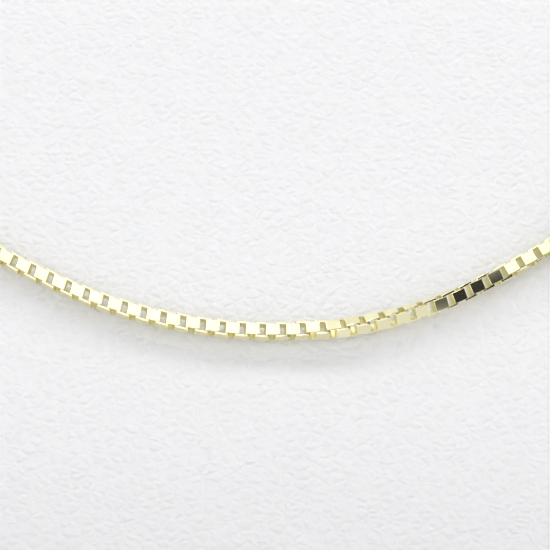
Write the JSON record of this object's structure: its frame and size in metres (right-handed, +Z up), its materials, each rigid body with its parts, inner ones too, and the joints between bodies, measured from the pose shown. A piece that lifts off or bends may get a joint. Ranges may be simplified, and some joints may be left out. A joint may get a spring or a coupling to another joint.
{
  "type": "box chain necklace on neck bust",
  "caption": "Slim box chain necklace with a plain ring clasp at the nape, lying on a plain leatherette neck bust with a flat foot.",
  "frame": {"origin": "middle of the neck bust's flat foot, on the surface it stands on", "axes": "+Z up along the neck, +Y from the chest towards the nape, +X across the shoulders"},
  "size_m": [0.185, 0.118, 0.22],
  "materials": {
    "leatherette": "white, finely pebbled, low sheen",
    "gold": "polished pale yellow gold"
  },
  "bodies": {
    "root": {"neck_bust": "leatherette", "chain": "gold", "end_cap_right": "gold", "catch_ring": "gold", "clasp": "gold", "jump_ring": "gold", "end_cap_left": "gold"}
  },
  "joints": []
}
